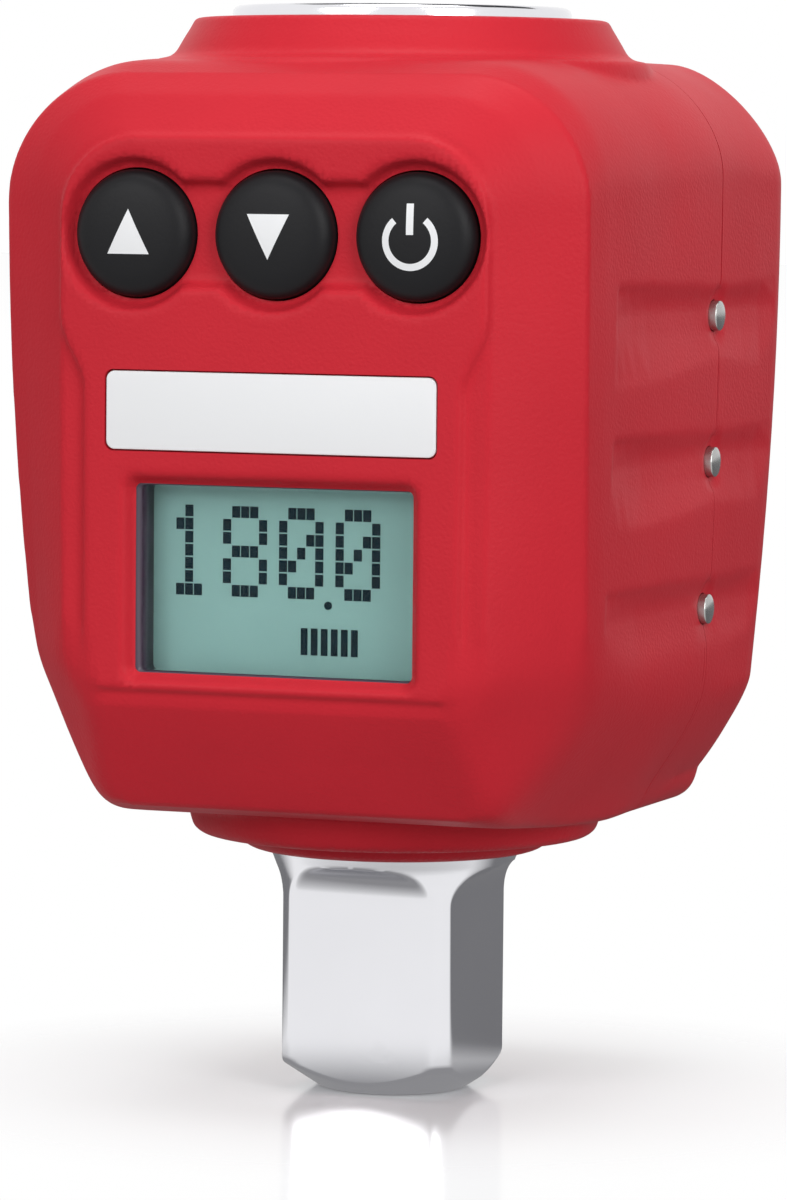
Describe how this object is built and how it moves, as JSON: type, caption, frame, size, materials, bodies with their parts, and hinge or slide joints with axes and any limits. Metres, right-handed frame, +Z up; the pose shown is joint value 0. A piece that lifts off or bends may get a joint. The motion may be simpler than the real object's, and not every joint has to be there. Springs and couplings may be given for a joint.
{
  "type": "digital torque adapter",
  "caption": "Square-drive torque adapter with a moulded two-part housing, front display, push buttons, side lamps and a rear battery cover round a one-piece steel spindle",
  "frame": {"origin": "centre of the male square's end face", "axes": "+Z runs up the drive axis to the female square, -Y is the display side, +X is the right side as seen from the display"},
  "size_m": [0.0434, 0.0487, 0.0756],
  "materials": {
    "red_moulding": "fine moulded grain with a soft sheen",
    "chrome_steel": "polished and chrome plated",
    "bright_steel": "bright plated steel",
    "black_rubber": "smooth satin black",
    "dark_moulding": "plain dark moulding",
    "white_label": "bare white label with a slight gloss",
    "clear_window": "clear polished window",
    "display_glass": "grey-green reflective display cell",
    "lamp_lens": "translucent lamp lens, unlit",
    "board_green": "solder-resist green",
    "plug_cream": "cream plug moulding",
    "gauge_foil": "amber polyimide with foil",
    "cell_jacket": "bare printed-free jacket"
  },
  "bodies": {
    "housing": {"front_housing": "red_moulding", "rear_housing": "red_moulding", "drive_body": "chrome_steel", "detent_spring": "bright_steel", "locating_pin": "bright_steel", "cell_spring_left": "bright_steel", "cell_spring_right": "bright_steel", "contact_plate_left": "bright_steel", "contact_plate_right": "bright_steel", "bridge_plate": "bright_steel", "housing_screw_1": "bright_steel", "housing_screw_2": "bright_steel", "housing_screw_3": "bright_steel", "housing_screw_4": "bright_steel", "board_screw_1": "bright_steel", "board_screw_2": "bright_steel", "contact_strip_top": "black_rubber", "contact_strip_bottom": "black_rubber", "upper_seal": "black_rubber", "lower_seal": "black_rubber", "key_switch_up": "dark_moulding", "key_switch_down": "dark_moulding", "key_switch_power": "dark_moulding", "lcd_holder": "dark_moulding", "controller_chip": "dark_moulding", "sounder": "dark_moulding", "label_plate": "white_label", "display_window": "clear_window", "lcd_glass": "display_glass", "lamp_right_1": "lamp_lens", "lamp_right_2": "lamp_lens", "lamp_right_3": "lamp_lens", "lamp_left_1": "lamp_lens", "lamp_left_2": "lamp_lens", "lamp_left_3": "lamp_lens", "main_board": "board_green", "lamp_board_right": "board_green", "lamp_board_left": "board_green", "gauge_socket": "plug_cream", "strain_gauge_front": "gauge_foil", "strain_gauge_rear": "gauge_foil", "gauge_lead": "gauge_foil", "cell_left": "cell_jacket", "cell_right": "cell_jacket"},
    "button_up": {"button_up": "black_rubber"},
    "button_down": {"button_down": "black_rubber"},
    "button_power": {"button_power": "black_rubber"},
    "detent_ball": {"detent_ball": "bright_steel"},
    "battery_cover": {"battery_cover": "red_moulding"}
  },
  "joints": [
    {"name": "button_up_press", "type": "slide", "parent": "housing", "child": "button_up", "axis": [0, 1, 0], "range_m": [0, 0.0006], "stiffness_N_per_m": 800, "springref_m": -0.0006},
    {"name": "button_down_press", "type": "slide", "parent": "housing", "child": "button_down", "axis": [0, 1, 0], "range_m": [0, 0.0006], "stiffness_N_per_m": 800, "springref_m": -0.0006},
    {"name": "button_power_press", "type": "slide", "parent": "housing", "child": "button_power", "axis": [0, 1, 0], "range_m": [0, 0.0006], "stiffness_N_per_m": 800, "springref_m": -0.0006},
    {"name": "detent_press", "type": "slide", "parent": "housing", "child": "detent_ball", "axis": [0, -1, 0], "range_m": [0, 0.0009], "stiffness_N_per_m": 1500, "springref_m": -0.001, "deforming": ["detent_spring"]},
    {"name": "cover_lift", "type": "slide", "parent": "housing", "child": "battery_cover", "axis": [0, 1, 0], "range_m": [0, 0.014]}
  ]
}
